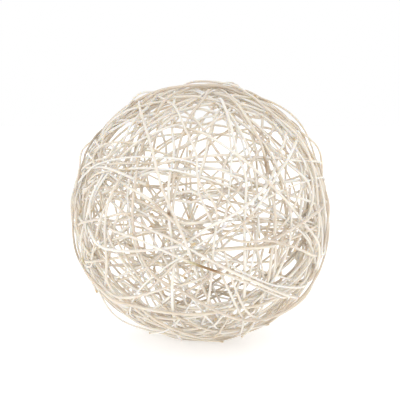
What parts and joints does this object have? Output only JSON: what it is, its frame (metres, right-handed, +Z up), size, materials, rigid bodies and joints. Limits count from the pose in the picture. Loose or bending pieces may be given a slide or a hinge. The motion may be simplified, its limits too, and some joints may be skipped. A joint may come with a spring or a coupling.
{
  "type": "wicker decorative ball",
  "caption": "Hollow see-through decorative sphere wound at random from bleached rattan canes, with a small flat on two canes underneath so it stands.",
  "frame": {"origin": "on the surface that the ball stands on, under the middle of its bounding box", "axes": "+Z up from the flat under the two foot canes; the side seen in the picture faces -Y, and +X is to its right"},
  "size_m": [0.2969, 0.2981, 0.298],
  "materials": {
    "rattan": "matt bleached peeled rattan"
  },
  "bodies": {
    "root": {"cane_01": "rattan", "cane_02": "rattan", "cane_03": "rattan", "cane_04": "rattan", "cane_05": "rattan", "cane_06": "rattan", "cane_07": "rattan", "cane_08": "rattan", "cane_09": "rattan", "cane_10": "rattan", "cane_11": "rattan", "cane_12": "rattan", "cane_13": "rattan", "cane_14": "rattan", "cane_15": "rattan", "cane_16": "rattan", "cane_17": "rattan", "cane_18": "rattan", "cane_19": "rattan", "cane_20": "rattan", "cane_21": "rattan", "cane_22": "rattan", "cane_23": "rattan", "cane_24": "rattan", "foot_back": "rattan", "foot_front": "rattan", "front_centre": "rattan", "front_crown": "rattan", "front_falling": "rattan", "front_far_left": "rattan", "front_high": "rattan", "front_knot": "rattan", "front_knot_left": "rattan", "front_knot_right": "rattan", "front_left_cross": "rattan", "front_level": "rattan", "front_low": "rattan", "front_lower_right": "rattan", "front_lowest": "rattan", "front_middle_right": "rattan", "front_right": "rattan", "front_right_edge": "rattan", "front_right_slant": "rattan", "front_star_left": "rattan", "front_top_centre": "rattan", "front_top_right": "rattan", "front_upper_left": "rattan", "front_upright": "rattan"}
  },
  "joints": []
}
